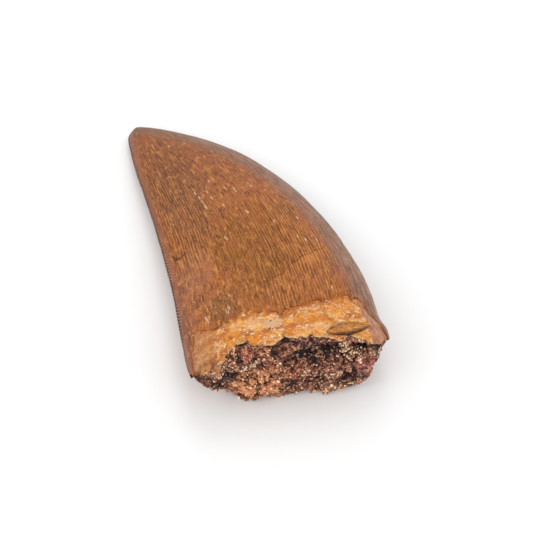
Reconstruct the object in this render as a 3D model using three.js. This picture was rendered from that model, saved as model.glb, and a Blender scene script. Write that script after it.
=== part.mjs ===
/**
 * Fossil tooth crown of a large meat-eating dinosaur, broken off just below its enamel.
 * It lies on one flat side. Red sandstone still fills the pulp cavity and stands a little
 * proud of the break.
 *
 * Millimetres. +X is mesial (towards the long convex edge), +Y points to the tip, +Z is up.
 * The origin is on the resting surface, under the middle of the bounding box.
 */
import * as THREE from 'three';

// ---- Crown: driving sizes ----

const BASE_HALF_THICKNESS = 6.6;
const TIP_HALF_THICKNESS = 1.5;
const TAPER_POWER = 0.95; // just off a straight taper from base to tip
const TIP_BLUNTNESS = 26; // the thickness closes over the last tenth of the crown
const LEAN = THREE.MathUtils.degToRad(5.45); // the mid-plane slopes down towards the tip
const REST_DEPTH = 0.3; // how much of the underside is worn to the flat that it lies on
const BAND_TAPER = 0.13; // the bare dentine below the enamel thins towards the break by this share
const BAND_HEIGHT = 8.4; // height of that band above the break

// Outline in the mid-plane: up the distal edge (saw-toothed, almost straight), round the tip,
// and down the mesial edge (long and convex) to the small spur at the break.
const OUTLINE = [
  [-14.5, -5], [-14.6, 4], [-14.3, 13], [-14.3, 21], [-14.6, 29.5], [-15.2, 37.5], [-15.7, 44.5], [-15.8, 49],
  [-15.6, 52.4], [-14.3, 53.9], [-11.4, 53.2],
  [-7.4, 51.3], [-1.6, 47.4], [4.3, 41.3], [9, 33.5], [12.4, 25], [14.4, 16], [15, 8.5], [14.9, 3.3],
  [15.4, 0.5], [15, -5],
];
const OUTLINE_START = -5; // the outline runs on below the break, and the rim cuts it off
const TIP_FRACTION = 0.459; // how far round the outline the tip lies

// Lens-shaped cross-section: sharp at the distal edge, rounder at the mesial edge.
const LENS_POWER = 2.3;
const DISTAL_SHARPNESS = 0.95;
const MESIAL_SHARPNESS = 0.62;
const THICKEST_SHIFT = 1.06; // moves the thickest line slightly towards the mesial edge
const BASE_FULLNESS = 0.3; // the section is fuller at the base, nearer to an oval
const FULLNESS_FADES_AT = 0.35;

// ---- The break: the chipped rim, as [across, along] points ----

const UPPER_RIM = [
  [-15, 0.9], [-13.6, -0.2], [-12.4, -1.6], [-10.9, -2], [-9.4, -0.2], [-8.4, 1.2], [-7.1, 1.6], [-5.9, 1.3],
  [-4.9, -0.2], [-3.7, -0.3], [-2.3, -0.1], [-0.6, 0.6], [1.2, -0.3], [3.2, -0.6], [5, -0.9], [6, -1.4],
  [7, -2], [8.7, -1.4], [9.8, -1.8], [11.2, -2.8], [12.8, -2.8], [14.4, -1.5], [15.6, 0.6],
];
const LOWER_RIM = [
  [-15, 0.9], [-13.6, -0.9], [-12.5, -1.5], [-11.5, -0.5], [-10.2, 0.9], [-8.6, 0.6], [-7.4, -0.4],
  [-5, -0.6], [2, -0.9], [8, -1.1], [11, -0.8], [13.4, 0.2], [15.6, 0.6],
];

// ---- Pulp cavity and the sandstone in it ----

const WALL = 1.3;
const RIM_CHAMFER = 0.25; // the middle of the broken wall stands out by this much
const CAVITY_DEPTH = 9;
const CAVITY_CLOSING = 0.6; // below 1 the cavity ends bluntly, like an egg
const CAVITY_GAP = 0.38; // clearance between the sandstone and the wall of the cavity
const PLUG_DEPTH = 7.3; // the sandstone stops short of the cavity's narrow end
const STONE_CLEARANCE = 0.65; // the stone spreads over the broken wall this far in front of it
const RIM_REACH = 0.8; // and of any part of the rim this near to either side
const RIM_BLEND = 3; // within this height of the mid-plane the stone follows both rims

// The broken face of the stone: a squarish oval that reaches down to the resting surface.
const FACE = { across: 0.4, out: -1, halfWidth: 12, halfHeight: 5.5, squareness: 3.2, along: -1.5 };

// Humps and hollows of the face: place across and out, reach, and height away from the tip.
const FACE_RELIEF = [
  { name: 'red clump', across: -4.4, out: -3.8, reach: 3.2, height: 0.9 },
  { name: 'distal corner, set back', across: -10.4, out: -5.5, reach: 4.4, height: -2.7 },
  { name: 'ledge under the hollow', across: 3, out: -1.6, reach: 3.4, height: 1.3 },
  { name: 'foot of the mesial side', across: 6.6, out: -6, reach: 4.4, height: 1.2 },
  { name: 'mesial block', across: 9.6, out: -1.6, reach: 4.4, height: 1.9 },
  { name: 'gap under the mesial rim', across: 9.2, out: 4, reach: 2, height: -1.4 },
];

// ---- Fineness of the meshes ----

const COLUMNS = 56;
const CROWN_ROWS = 44;
const CAVITY_ROWS = 7;
const FACE_ROWS = 8;
const ROW_CROWDING = 1.25; // above 1 the rows draw together towards the tip

const outline = new THREE.SplineCurve(OUTLINE.map(([x, y]) => new THREE.Vector2(x, y)));
outline.arcLengthDivisions = 2000;

const distalEdge = (t) => outline.getPointAt(TIP_FRACTION * t);
const mesialEdge = (t) => outline.getPointAt(1 - (1 - TIP_FRACTION) * t);

/** Share of the way from base to tip (t) that lies `along` mm up the crown, u of the way across. */
function stationAt(along, u) {
  const edgeLength = outline.getLength() * THREE.MathUtils.lerp(TIP_FRACTION, 1 - TIP_FRACTION, u);
  return (along - OUTLINE_START) / edgeLength;
}

/** Thickness of the section at station t, as a share of its middle, u of the way from the distal edge. */
function lens(t, u) {
  const s = 2 * u ** THICKEST_SHIFT - 1;
  const blend = THREE.MathUtils.smoothstep(u, 0.3, 0.8);
  const sharpness = THREE.MathUtils.lerp(DISTAL_SHARPNESS, MESIAL_SHARPNESS, blend);
  const fullness = 1 - BASE_FULLNESS * (1 - THREE.MathUtils.smoothstep(t, 0, FULLNESS_FADES_AT));
  return Math.max(0, 1 - Math.abs(s) ** LENS_POWER) ** (sharpness * fullness);
}

/** Half thickness at the middle of the section at station t. */
function halfThickness(t) {
  const taper = THREE.MathUtils.lerp(TIP_HALF_THICKNESS, BASE_HALF_THICKNESS, (1 - t) ** TAPER_POWER);
  const roundedTip = Math.sqrt(Math.max(0, 1 - t ** TIP_BLUNTNESS));
  const intoBand = 1 - THREE.MathUtils.smoothstep(t, stationAt(0, 0.5), stationAt(BAND_HEIGHT, 0.5));
  return taper * roundedTip * (1 - BAND_TAPER * intoBand);
}

/** Point on the crown as it stands in its own mid-plane: across, along, and out of the plane. */
function crownPoint(t, u, side) {
  const edge = distalEdge(t).lerp(mesialEdge(t), u);
  return new THREE.Vector3(edge.x, edge.y, side * halfThickness(t) * lens(t, u));
}

/** Lays a mid-plane point down: leans the plane, and wears the underside flat at the resting surface. */
function layDown(point) {
  const laid = point.clone().applyAxisAngle(new THREE.Vector3(1, 0, 0), -LEAN);
  laid.z = Math.max(0, laid.z + BASE_HALF_THICKNESS * Math.cos(LEAN) - REST_DEPTH);
  return laid;
}

/** Height of the rim at a place across, from a list of [across, along] points. */
function rimAt(rim, across) {
  const next = Math.max(1, rim.findIndex(([x]) => x >= across));
  const [[x0, y0], [x1, y1]] = [rim[next - 1], rim[next]];
  return THREE.MathUtils.lerp(y0, y1, THREE.MathUtils.smoothstep(across, x0, x1));
}

/** The columns of every ring: u across, and +1 on the upper face or -1 on the lower. */
const columns = Array.from({ length: COLUMNS }, (_, i) => {
  const angle = (2 * Math.PI * i) / COLUMNS;
  const u = (1 - Math.cos(angle)) / 2;
  const side = i <= COLUMNS / 2 ? 1 : -1;
  const across = THREE.MathUtils.lerp(distalEdge(0).x, mesialEdge(0).x, u);
  return { u, side, rim: rimAt(side > 0 ? UPPER_RIM : LOWER_RIM, across) };
});

/** A ring of the crown, `share` of the way from the rim (0) to the tip (1). */
function crownRing(share) {
  return columns.map(({ u, side, rim }) => {
    const start = stationAt(rim, u);
    return crownPoint(start + (1 - start) * share, u, side);
  });
}

/** A ring inside the crown: `inset` mm in from its surface, `depth` mm up from the rim. */
function innerRing(inset, depth, closing = 1) {
  return columns.map(({ u, side, rim }) => {
    const outer = crownPoint(stationAt(rim + depth, u), u, side);
    const middle = crownPoint(stationAt(rim + depth, 0.5), 0.5, 0);
    const halfWidth = Math.abs(distalEdge(0).x);
    const half = halfThickness(stationAt(rim, 0.5));
    outer.x = middle.x + (outer.x - middle.x) * (1 - inset / halfWidth) * closing;
    outer.z *= (1 - inset / half) * closing;
    return outer;
  });
}

/** Rings of the cavity from the rim up to where it closes like the end of an egg. */
function cavityRings(inset, depth) {
  return Array.from({ length: CAVITY_ROWS }, (_, i) => {
    const angle = (Math.PI / 2) * (i / CAVITY_ROWS);
    return innerRing(inset, depth * Math.sin(angle), Math.cos(angle) ** CAVITY_CLOSING);
  });
}

/** A closed solid from rings of equal count, with a single point at either end. */
function ringSolid(startPoint, rings, endPoint) {
  const points = [startPoint, ...rings.flat(), endPoint];
  const last = points.length - 1;
  const at = (ring, column) => 1 + ring * COLUMNS + (column % COLUMNS);
  const faces = [];
  for (let c = 0; c < COLUMNS; c++) {
    faces.push(0, at(0, c), at(0, c + 1));
    for (let r = 0; r < rings.length - 1; r++) {
      faces.push(at(r, c), at(r + 1, c), at(r, c + 1));
      faces.push(at(r, c + 1), at(r + 1, c), at(r + 1, c + 1));
    }
    faces.push(last, at(rings.length - 1, c + 1), at(rings.length - 1, c));
  }
  const geometry = new THREE.BufferGeometry().setFromPoints(points.map(layDown));
  geometry.setIndex(faces);
  geometry.computeVertexNormals();
  return geometry;
}

/** The crown: enamel and dentine grew as one piece, with the pulp cavity open at the break. */
function crownGeometry() {
  const outside = Array.from({ length: CROWN_ROWS }, (_, i) => {
    const fromTip = (i + 1) / CROWN_ROWS;
    return crownRing(1 - fromTip ** ROW_CROWDING);
  });
  const cavity = cavityRings(WALL, CAVITY_DEPTH);
  const chamfer = innerRing(WALL * 0.5, -RIM_CHAMFER);
  const cavityEnd = crownPoint(stationAt(CAVITY_DEPTH, 0.5), 0.5, 0);
  return ringSolid(crownPoint(1, 0.5, 0), [...outside, chamfer, ...cavity], cavityEnd);
}

/** How far along the crown the broken face of the stone lies at a place on it. */
function faceAlong(across, out) {
  return FACE_RELIEF.reduce((along, bump) => {
    const distance = Math.hypot(across - bump.across, out - bump.out) / bump.reach;
    return along - bump.height * Math.exp(-distance * distance);
  }, FACE.along);
}

/** Brings a point of the stone in front of the broken wall where it would touch it. */
function clearOfRim(point) {
  const lowest = (rim) => Math.min(...[-RIM_REACH, 0, RIM_REACH].map((step) => rimAt(rim, point.x + step)));
  const upward = THREE.MathUtils.smoothstep(point.z, -RIM_BLEND, RIM_BLEND);
  const wall = THREE.MathUtils.lerp(lowest(LOWER_RIM), lowest(UPPER_RIM), upward);
  point.y = Math.min(point.y, wall - STONE_CLEARANCE);
  return point;
}

/** A ring of the broken face, `size` times its outline. */
function faceRing(size) {
  const corner = 2 / FACE.squareness;
  return columns.map((_, i) => {
    const angle = Math.PI - (2 * Math.PI * i) / COLUMNS;
    const [c, s] = [Math.cos(angle), Math.sin(angle)];
    const across = FACE.across + FACE.halfWidth * size * Math.sign(c) * Math.abs(c) ** corner;
    const out = FACE.out + FACE.halfHeight * size * Math.sign(s) * Math.abs(s) ** corner;
    return clearOfRim(new THREE.Vector3(across, faceAlong(across, out), out));
  });
}

/** The sandstone: a plug that fills the cavity and ends in a rough broken face. */
function stoneGeometry() {
  const plug = cavityRings(WALL + CAVITY_GAP, PLUG_DEPTH).reverse();
  const mouth = plug[plug.length - 1];
  const lip = mouth.map(({ x, y, z }) => clearOfRim(new THREE.Vector3(x, y - STONE_CLEARANCE, z)));
  const face = Array.from({ length: FACE_ROWS }, (_, i) => faceRing(1 - i / FACE_ROWS));
  const deepEnd = crownPoint(stationAt(PLUG_DEPTH, 0.5), 0.5, 0);
  const faceMiddle = new THREE.Vector3(FACE.across, faceAlong(FACE.across, FACE.out), FACE.out);
  return ringSolid(deepEnd, [...plug, lip, ...face], faceMiddle);
}

const crown = new THREE.Mesh(
  crownGeometry(),
  new THREE.MeshStandardMaterial({ color: 0xa4673a, roughness: 0.38, metalness: 0 }),
);
crown.name = 'tooth_crown';

const stone = new THREE.Mesh(
  stoneGeometry(),
  new THREE.MeshStandardMaterial({ color: 0x6d4a3e, roughness: 0.95, metalness: 0 }),
);
stone.name = 'sandstone_matrix';

const tooth = new THREE.Group();
tooth.add(crown, stone);
const bounds = new THREE.Box3().setFromObject(tooth);
const middle = bounds.getCenter(new THREE.Vector3());
tooth.position.set(-middle.x, -middle.y, -bounds.min.z);
tooth.updateMatrixWorld(true);

export default tooth;
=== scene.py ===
"""Looks of the fossil tooth crown: glossy striated enamel, chipped dentine, and sandstone in its base.

Shapes are worked out in millimetres in the crown's own mid-plane: across (towards the mesial edge),
along (towards the tip) and out (of the plane, upwards). They are then laid down and moved to the frame.
"""
import itertools
import math

import bpy
import numpy as np
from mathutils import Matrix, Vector


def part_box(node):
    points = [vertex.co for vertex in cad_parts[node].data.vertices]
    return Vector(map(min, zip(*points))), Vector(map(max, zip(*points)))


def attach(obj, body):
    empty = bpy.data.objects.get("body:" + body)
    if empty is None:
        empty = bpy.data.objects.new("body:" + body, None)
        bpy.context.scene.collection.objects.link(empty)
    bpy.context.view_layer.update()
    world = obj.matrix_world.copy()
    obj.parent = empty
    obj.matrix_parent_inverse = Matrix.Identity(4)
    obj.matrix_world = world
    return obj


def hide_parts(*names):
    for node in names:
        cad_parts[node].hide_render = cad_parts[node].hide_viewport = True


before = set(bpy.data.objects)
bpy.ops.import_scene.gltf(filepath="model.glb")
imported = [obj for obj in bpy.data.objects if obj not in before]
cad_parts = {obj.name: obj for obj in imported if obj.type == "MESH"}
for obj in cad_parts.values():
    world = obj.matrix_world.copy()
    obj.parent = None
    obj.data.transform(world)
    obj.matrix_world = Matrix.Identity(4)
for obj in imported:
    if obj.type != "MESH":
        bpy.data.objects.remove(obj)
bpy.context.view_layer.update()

MM = 0.001
ACROSS, ALONG, OUT = range(3)  # directions of the mid-plane frame
rng = np.random.default_rng(17)

# ---- Crown: the driving sizes of the CAD model, in millimetres ----

BASE_HALF_THICKNESS = 6.6
TIP_HALF_THICKNESS = 1.5
TAPER_POWER = 0.95
TIP_BLUNTNESS = 26
LEAN = math.radians(5.45)
REST_DEPTH = 0.3
BAND_TAPER = 0.13
BAND_HEIGHT = 8.4
OUTLINE = np.array([
    [-14.5, -5], [-14.6, 4], [-14.3, 13], [-14.3, 21], [-14.6, 29.5], [-15.2, 37.5], [-15.7, 44.5],
    [-15.8, 49], [-15.6, 52.4], [-14.3, 53.9], [-11.4, 53.2], [-7.4, 51.3], [-1.6, 47.4], [4.3, 41.3],
    [9, 33.5], [12.4, 25], [14.4, 16], [15, 8.5], [14.9, 3.3], [15.4, 0.5], [15, -5],
])
OUTLINE_START = OUTLINE[0, ALONG]
DISTAL_END, MESIAL_END = OUTLINE[0, ACROSS], OUTLINE[-1, ACROSS]
TIP_FRACTION = 0.459
LENS_POWER = 2.3
DISTAL_SHARPNESS = 0.95
MESIAL_SHARPNESS = 0.62
THICKEST_SHIFT = 1.06
BASE_FULLNESS = 0.3
FULLNESS_FADES_AT = 0.35

# The break and the lower edge of the enamel, as (across, along) points.
UPPER_RIM = [
    (-15, 0.9), (-13.6, -0.2), (-12.4, -1.6), (-10.9, -2.0), (-9.4, -0.6), (-8.4, 0.7), (-7.1, 1.3),
    (-5.9, 1.2), (-4.9, -0.2), (-3.7, -0.3), (-2.3, -0.4), (-1.3, 0.0), (-0.4, 0.5), (1.2, -0.3),
    (3.2, -0.6), (5, -0.9), (6, -1.4), (7, -2), (8.7, -1.4), (9.8, -1.8), (11.2, -2.8), (12.8, -2.8),
    (14.4, -1.5), (15.6, 0.6),
]
LOWER_RIM = [
    (-15, 0.9), (-13.6, -0.9), (-12.5, -1.3), (-11.5, 0.1), (-10.2, 1.2), (-8.6, 0.6), (-7.4, -0.4),
    (-5, -0.6), (2, -0.9), (8, -1.1), (11, -0.8), (13.4, 0.2), (15.6, 0.6),
]
UPPER_ENAMEL_EDGE = [
    (-14.6, -1.5), (-14.1, 0), (-13.3, 3.6), (-12.4, 5.8), (-10.3, 5.3), (-8, 5.3), (-6.4, 5.9), (-5, 6),
    (-2.4, 5.3), (0.3, 4.5), (3.1, 4.8), (6.2, 5.4), (9, 5.7), (11.8, 5.5), (12.6, 4.8), (13.5, 2.6),
    (14.3, 0), (14.8, -2),
]
LOWER_ENAMEL_EDGE = [
    (-14.6, -1.5), (-13.8, 2), (-12, 4.6), (-8, 5), (-3, 4.2), (2, 5), (7, 4.4), (11, 4.8), (13.4, 2.6),
    (14.8, -2),
]

WALL = 1.3  # thickness of the dentine at the break
ENAMEL_STEP = 0.14  # the dentine lies this far below the enamel
CLEARANCE = 0.02  # dentine and stone stay this far off the ground, and only the enamel rests on it

# How ragged both of these lines are: layers of noise, each a depth, a size, octaves and a seed.
RIM_NOISE = [(0.16, 1.1, 3, 31)]
ENAMEL_EDGE_NOISE = [(0.5, 1.6, 4, 57), (0.3, 0.55, 3, 58)]
LEAST_BAND = 0.02  # the enamel's edge stays at least this far above the break

EDGE_ANGLE = {"distal": 0.0, "mesial": np.pi}
ENAMEL_STATION = 0.3  # the enamel's columns are spaced evenly round the section this far to the tip,
DENTINE_STATION = 0.1  # and the dentine's round this one
CURVE_STEPS = 4000  # of a curve whose length is measured


def smooth(x, low, high):
    share = np.clip((np.asarray(x, float) - low) / (high - low), 0, 1)
    return share * share * (3 - 2 * share)


def lerp(a, b, share):
    return a + (b - a) * share


def bell(distance):
    return np.exp(-np.square(distance))


def hump(a, b, middle_a, middle_b, reach_a, reach_b):
    """1 at a place, falling off as a bell over its reaches."""
    return bell(np.hypot((a - middle_a) / reach_a, (b - middle_b) / reach_b))


# ---- Noise, the same on every run ----


def lattice(cells, seed):
    """A number from -1 to 1 for each whole-numbered cell."""
    x, y, z = (cells[..., i].astype(np.int64) for i in range(3))
    h = (x * 374761393 + y * 668265263 + z * 1440662683 + seed * 974634777) & 0xFFFFFFFF
    h = ((h ^ (h >> 13)) * 1274126177) & 0xFFFFFFFF
    return ((h ^ (h >> 16)) & 0xFFFF) / 32767.5 - 1


def noise(points, size, seed):
    """Smooth noise from -1 to 1 whose bumps are about `size` across; size may differ by axis."""
    places = points / np.asarray(size, float)
    cells = np.floor(places)
    share = places - cells
    share = share * share * (3 - 2 * share)
    total = np.zeros(points.shape[:-1])
    for corner in itertools.product((0, 1), repeat=3):
        weight = np.prod(np.where(corner, share, 1 - share), axis=-1)
        total += weight * lattice(cells + corner, seed)
    return total


def fractal(points, size, octaves, seed):
    return sum(noise(points, np.asarray(size, float) / 2**k, seed + k) / 2**k for k in range(octaves))


# ---- The crown's shape ----


def unit(vectors):
    return vectors / np.maximum(np.linalg.norm(vectors, axis=-1, keepdims=True), 1e-9)


def length_so_far(points):
    """Length of the line through `points`, up to each of them."""
    return np.concatenate([[0], np.cumsum(np.linalg.norm(np.diff(points, axis=0), axis=1))])


def catmull_rom(points, steps):
    """Evenly stepped points on the smooth curve through `points`."""
    spans = len(points) - 1
    place = np.linspace(0, spans, steps)
    span = np.minimum(place.astype(int), spans - 1)
    w = (place - span)[:, None]
    p0, p1, p2, p3 = (points[np.clip(span + k, 0, spans)] for k in (-1, 0, 1, 2))
    v0, v1 = (p2 - p0) / 2, (p3 - p1) / 2
    return (2 * p1 - 2 * p2 + v0 + v1) * w**3 + (3 * p2 - 3 * p1 - 2 * v0 - v1) * w**2 + v0 * w + p1


curve = catmull_rom(OUTLINE, CURVE_STEPS + 1)
arc = length_so_far(curve)
OUTLINE_LENGTH = arc[-1]


def outline_at(share):
    return np.stack([np.interp(share * OUTLINE_LENGTH, arc, curve[:, k]) for k in (0, 1)], axis=-1)


def station_at(along, u):
    """Share of the way from base to tip that lies `along` mm up the crown, u of the way across."""
    return (along - OUTLINE_START) / (OUTLINE_LENGTH * lerp(TIP_FRACTION, 1 - TIP_FRACTION, u))


def half_thickness(t):
    taper = lerp(TIP_HALF_THICKNESS, BASE_HALF_THICKNESS, np.clip(1 - t, 0, 1) ** TAPER_POWER)
    rounded_tip = np.sqrt(np.clip(1 - t**TIP_BLUNTNESS, 0, 1))
    into_band = 1 - smooth(t, station_at(0, 0.5), station_at(BAND_HEIGHT, 0.5))
    return taper * rounded_tip * (1 - BAND_TAPER * into_band)


def lens(t, u):
    s = 2 * u**THICKEST_SHIFT - 1
    sharpness = lerp(DISTAL_SHARPNESS, MESIAL_SHARPNESS, smooth(u, 0.3, 0.8))
    fullness = 1 - BASE_FULLNESS * (1 - smooth(t, 0, FULLNESS_FADES_AT))
    return np.clip(1 - np.abs(s) ** LENS_POWER, 0, 1) ** (sharpness * fullness)


def across_share(angle):
    """Turns the angle round a section (0 distal, pi mesial, upper face first) into the share across."""
    return (1 - np.cos(angle)) / 2


def side_of(angle):
    return np.where(np.sin(angle) >= 0, 1.0, -1.0)


def crown_point(t, angle):
    """Point in the mid-plane frame at station t and angle round the section."""
    t, angle = np.broadcast_arrays(np.clip(t, 0, 1), angle)
    u = across_share(angle)
    edge = lerp(outline_at(TIP_FRACTION * t), outline_at(1 - (1 - TIP_FRACTION) * t), u[..., None])
    out = side_of(angle) * half_thickness(t) * lens(t, u)
    return np.concatenate([edge, out[..., None]], axis=-1)


def crown_normal(t, angle):
    """Outward direction of the crown's surface."""
    rise, turn = 1e-3, 0.02
    along_step = crown_point(t + rise, angle) - crown_point(t - rise, angle)
    round_step = crown_point(t, angle + turn) - crown_point(t, angle - turn)
    return unit(np.cross(round_step, along_step))


def edge_point(t, edge):
    return crown_point(t, np.full_like(t, EDGE_ANGLE[edge]))


def chord(t):
    """From the distal to the mesial edge."""
    return edge_point(t, "mesial") - edge_point(t, "distal")


def reach_from_edge(points, t, edge):
    return np.linalg.norm(points - edge_point(t, edge), axis=-1)


def through(points, across):
    """Value at `across` of a line through (across, value) points, rounded at each."""
    x, y = np.array(points, float).T
    across = np.clip(across, x[0], x[-1])
    span = np.clip(np.searchsorted(x, across) - 1, 0, len(x) - 2)
    return lerp(y[span], y[span + 1], smooth((across - x[span]) / (x[span + 1] - x[span]), 0, 1))


def base_across(angle):
    return lerp(DISTAL_END, MESIAL_END, across_share(angle))


def round_base(upper_line, lower_line, layers, angle):
    """How far along a ragged line runs that goes over the upper face and back under the lower one."""
    across = base_across(angle)
    line = np.where(side_of(angle) > 0, *(through(side, across) for side in (upper_line, lower_line)))
    place = np.stack([across, BASE_HALF_THICKNESS * np.sin(angle), np.zeros_like(angle)], axis=-1)
    return line + sum(depth * fractal(place, *kind) for depth, *kind in layers)


def rim_along(angle):
    return round_base(UPPER_RIM, LOWER_RIM, RIM_NOISE, angle)


def enamel_edge_along(angle):
    line = round_base(UPPER_ENAMEL_EDGE, LOWER_ENAMEL_EDGE, ENAMEL_EDGE_NOISE, angle)
    return np.maximum(line, rim_along(angle) + LEAST_BAND)


def lay_down(points, floor=0.0):
    """From the mid-plane frame to the lying tooth, flat where it rests."""
    across, along, out = np.moveaxis(points, -1, 0)
    c, s = math.cos(LEAN), math.sin(LEAN)
    up = out * c - along * s + BASE_HALF_THICKNESS * c - REST_DEPTH
    return np.stack([across, along * c + out * s, np.maximum(up, floor)], axis=-1)


def origin_shift():
    """The frame's crown box against the same box worked out here gives the place of the origin."""
    steps = 400
    angle = np.linspace(0, 2 * np.pi, steps)
    laid = lay_down(crown_point(np.linspace(0.5, 1, steps)[:, None], angle))
    low, high = (np.array(corner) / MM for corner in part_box("tooth_crown"))
    return np.array([low[0] - laid[..., 0].min(), high[1] - laid[..., 1].max(), 0])


SHIFT = origin_shift()


def section_angles(upper_count, lower_count, station):
    """Angles round a section, in even steps over its upper face and then back under its lower one."""
    fine = np.linspace(0, np.pi, CURVE_STEPS)
    run = length_so_far(crown_point(station, fine))
    upper, lower = (np.interp(np.linspace(0, run[-1], count + 1), run, fine)
                    for count in (upper_count, lower_count))
    return np.concatenate([upper, (2 * np.pi - lower)[::-1][1:-1]])


# ---- Making meshes ----


def add_piece(name, points, faces, material, node, attributes, floor=0.0, rounded=True):
    """A mesh from mid-plane points, riding on the tooth's one body."""
    mesh = bpy.data.meshes.new(name)
    mesh.from_pydata(((lay_down(points, floor) + SHIFT) * MM).tolist(), [], faces)
    for key, value in {"crown": points, **attributes}.items():
        kind, field = ("FLOAT_VECTOR", "vector") if value.ndim == 2 else ("FLOAT", "value")
        mesh.attributes.new(key, kind, "POINT").data.foreach_set(field, value.astype(np.float32).ravel())
    mesh.polygons.foreach_set("use_smooth", [rounded] * len(mesh.polygons))
    mesh.materials.append(material)
    mesh.update()
    piece = bpy.data.objects.new(name, mesh)
    bpy.context.scene.collection.objects.link(piece)
    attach(piece, "root")
    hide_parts(node)


def band(ring, other):
    """Quads between two closed rings of point numbers."""
    return np.stack([ring, other, np.roll(other, -1), np.roll(ring, -1)], axis=-1).tolist()


def fan(pole, ring, turned=False):
    """Triangles between a pole and a closed ring; turned ones face the other way."""
    ends = [ring, np.roll(ring, -1)]
    return np.stack([np.full(len(ring), pole), *(ends[::-1] if turned else ends)], axis=-1).tolist()


def ring_faces(rings, count):
    """Faces of a closed solid from rings of `count` points, one after another, and a pole for either end."""
    number = np.arange(rings * count).reshape(rings, count)
    faces = [face for ring, other in zip(number, number[1:]) for face in band(ring, other)]
    return faces + fan(rings * count, number[0]) + fan(rings * count + 1, number[-1], turned=True)


def joined(facts):
    """Each attribute's values in one run, from a list of what is known of each ring."""
    return {key: np.concatenate([known[key] for known in facts]) for key in facts[0]}


# ---- Enamel ----

ENAMEL_ROWS = 132
FINE_ROWS = 4  # rows of the saw-toothed edges to each row of the faces
ENAMEL_COLUMNS = (300, 150)  # of the upper and the lower face
FINE_REACH = {"distal": 2.0, "mesial": 0.7}  # the finer rows run this far in from each edge
ROW_CROWDING = 1.2
LIP_DEPTH = 0.3  # the lower edge turns in by this much
CORE_ALONG = 8.0  # and is closed at this place on the crown's middle line,
CORE_SHARE = 0.6  # with one more ring this share of the way there
STRAND_FOLLOWS = 0.25  # striae run together towards the tip by this share of the crown's narrowing
FACES_APART = 40  # keeps the two faces' striae from being the same

SAW_TEETH = {
    "distal": {"pitch": 0.61, "notch": 0.24, "furrow": 0.09, "furrow_reach": 1.4},
    "mesial": {"pitch": 0.57, "notch": 0.07, "furrow": 0.015, "furrow_reach": 0.5},
}
SAW_SLANT = -0.15
PITCH_DRIFT = 0.12  # teeth wander from even steps by up to this share of a step
NOTCH_REACH = 0.6
NICK_REACH = 0.5
# Bites worn out of the mesial edge: along, half length, depth.
NICKS = [(27.0, 0.35, 0.1), (19.1, 0.3, 0.16), (15.6, 0.4, 0.2), (10.6, 0.35, 0.16), (8.6, 0.25, 0.12)]
SAW_ENDS = ((3, 9), (45, 51))  # they fade in and out over these stretches along the crown
STRIA_PITCH = 0.47
STRIA_DEPTH = 0.045
GROWTH_LINE_DEPTH = 0.05
GROWTH_LINE_WAVER = 0.2
GROWTH_LINE_HALF_WIDTH = 0.16
GLINT_HEIGHT = 0.03
SWELLS = ((0.06, 5.5, 3), (0.016, 0.9, 4))  # depth, size and seed of the enamel's broad unevenness
FRAYING = ((0.1, 0.4), (0.07, 1.8))  # depth and reach of the worn lower edge of the enamel
GROWTH_LINE = [
    (-4, 9.3), (-1.7, 10.2), (1.8, 11.5), (4.2, 13.4), (6.2, 14.9), (8.9, 16.2), (12, 18.7), (14, 21),
]
LOWER_LINE_DROP = 9  # the lower face's line runs this far nearer to the base

# Short cracks, pits and chips of the upper face: start, end, half width, depth.
CRACKS = [
    ((-4.25, 28.2), (-4.15, 27.7), 0.15, 0.12),
    ((-4.15, 26.8), (-4.0, 26.0), 0.15, 0.12),
    ((-5.9, 22.9), (-5.6, 22.1), 0.13, 0.07),
    ((-6.6, 27.2), (-6.8, 25.0), 0.08, 0.05),
    ((-6.8, 25.0), (-6.6, 23.2), 0.08, 0.05),
    ((-6.4, 16.8), (-6.1, 14.0), 0.07, 0.04),
    ((7.2, 18.9), (7.6, 18.2), 0.1, 0.04),
    ((-13.0, 22.7), (-12.5, 21.8), 0.12, 0.07),
    ((-12.5, 21.8), (-11.6, 21.5), 0.16, 0.09),
    ((-11.6, 21.5), (-10.7, 22.3), 0.12, 0.07),
    ((14.2, 9.0), (13.3, 9.6), 0.1, 0.06),
]
# Tiny ridges left where the enamel is flaked or scratched, painted bright as highlights: start, end, half
# width.
GLINTS = [
    ((-7.35, 33.4), (-7.2, 32.9), 0.09),
    ((-6.85, 32.1), (-6.75, 31.7), 0.08),
    ((-6.65, 31.2), (-6.5, 30.6), 0.07),
    ((-6.3, 29.9), (-6.1, 29.1), 0.09),
    ((-5.5, 33.0), (-5.3, 32.4), 0.06),
    ((-5.05, 31.4), (-4.85, 30.9), 0.08),
    ((-4.65, 35.2), (-4.6, 34.9), 0.08),
    ((-3.5, 28.9), (-3.45, 28.7), 0.1),
    ((-0.3, 26.4), (-0.1, 26.0), 0.12),
    ((-4.7, 21.8), (-4.4, 21.3), 0.09),
    ((1.3, 33.3), (1.4, 33.0), 0.06),
    ((1.7, 32.3), (1.75, 32.1), 0.08),
    ((-2.5, 32.9), (-2.2, 32.2), 0.06),
    ((-1.2, 32.7), (-0.9, 31.5), 0.05),
    ((7.15, 23.6), (7.25, 23.4), 0.1),
    ((6.1, 19.1), (6.15, 18.9), 0.08),
    ((7.0, 18.5), (7.35, 18.1), 0.1),
    ((8.85, 18.3), (8.95, 18.1), 0.09),
    ((3.4, 23.3), (3.45, 23.1), 0.08),
    ((8.4, 7.7), (8.6, 7.4), 0.1),
    ((-10.4, 7.7), (-10.2, 6.9), 0.1),
    ((-7.1, 8.0), (-6.9, 7.6), 0.09),
    ((-7.4, 7.2), (-7.1, 6.8), 0.09),
    ((-6.7, 7.3), (-6.5, 7.1), 0.07),
    ((-9.5, 46.1), (-9.4, 45.9), 0.09),
]


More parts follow.
